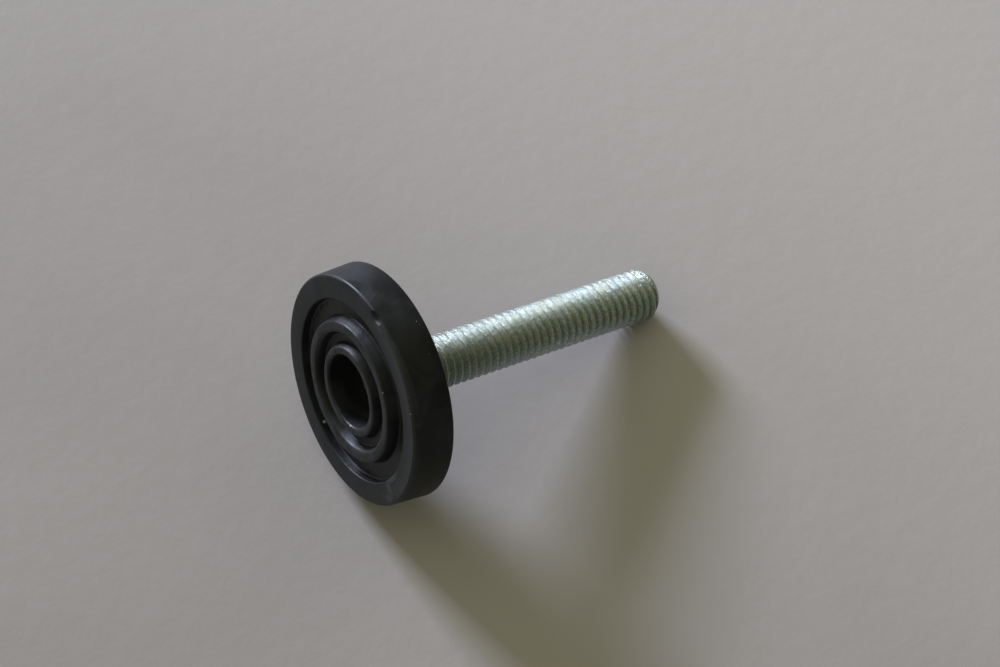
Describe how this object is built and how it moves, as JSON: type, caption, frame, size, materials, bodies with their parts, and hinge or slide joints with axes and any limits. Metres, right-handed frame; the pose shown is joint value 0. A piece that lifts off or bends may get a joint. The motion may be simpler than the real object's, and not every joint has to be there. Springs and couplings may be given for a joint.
{
  "type": "leveling foot",
  "caption": "Screw-in leveling foot: a round moulded base with ring ribs underneath and a threaded steel stud standing from its hub.",
  "frame": {"origin": "centre of the underside, on the plane of the rings that the foot stands on", "axes": "+Z along the stud, from the base towards the stud's free end; X and Y are equivalent, the part is round"},
  "size_m": [0.0354, 0.0354, 0.0535],
  "materials": {
    "black_plastic": "smooth moulded black plastic, low gloss",
    "zinc_steel": "bright zinc plating on a rolled thread"
  },
  "bodies": {
    "root": {"base": "black_plastic", "stud": "zinc_steel"}
  },
  "joints": []
}
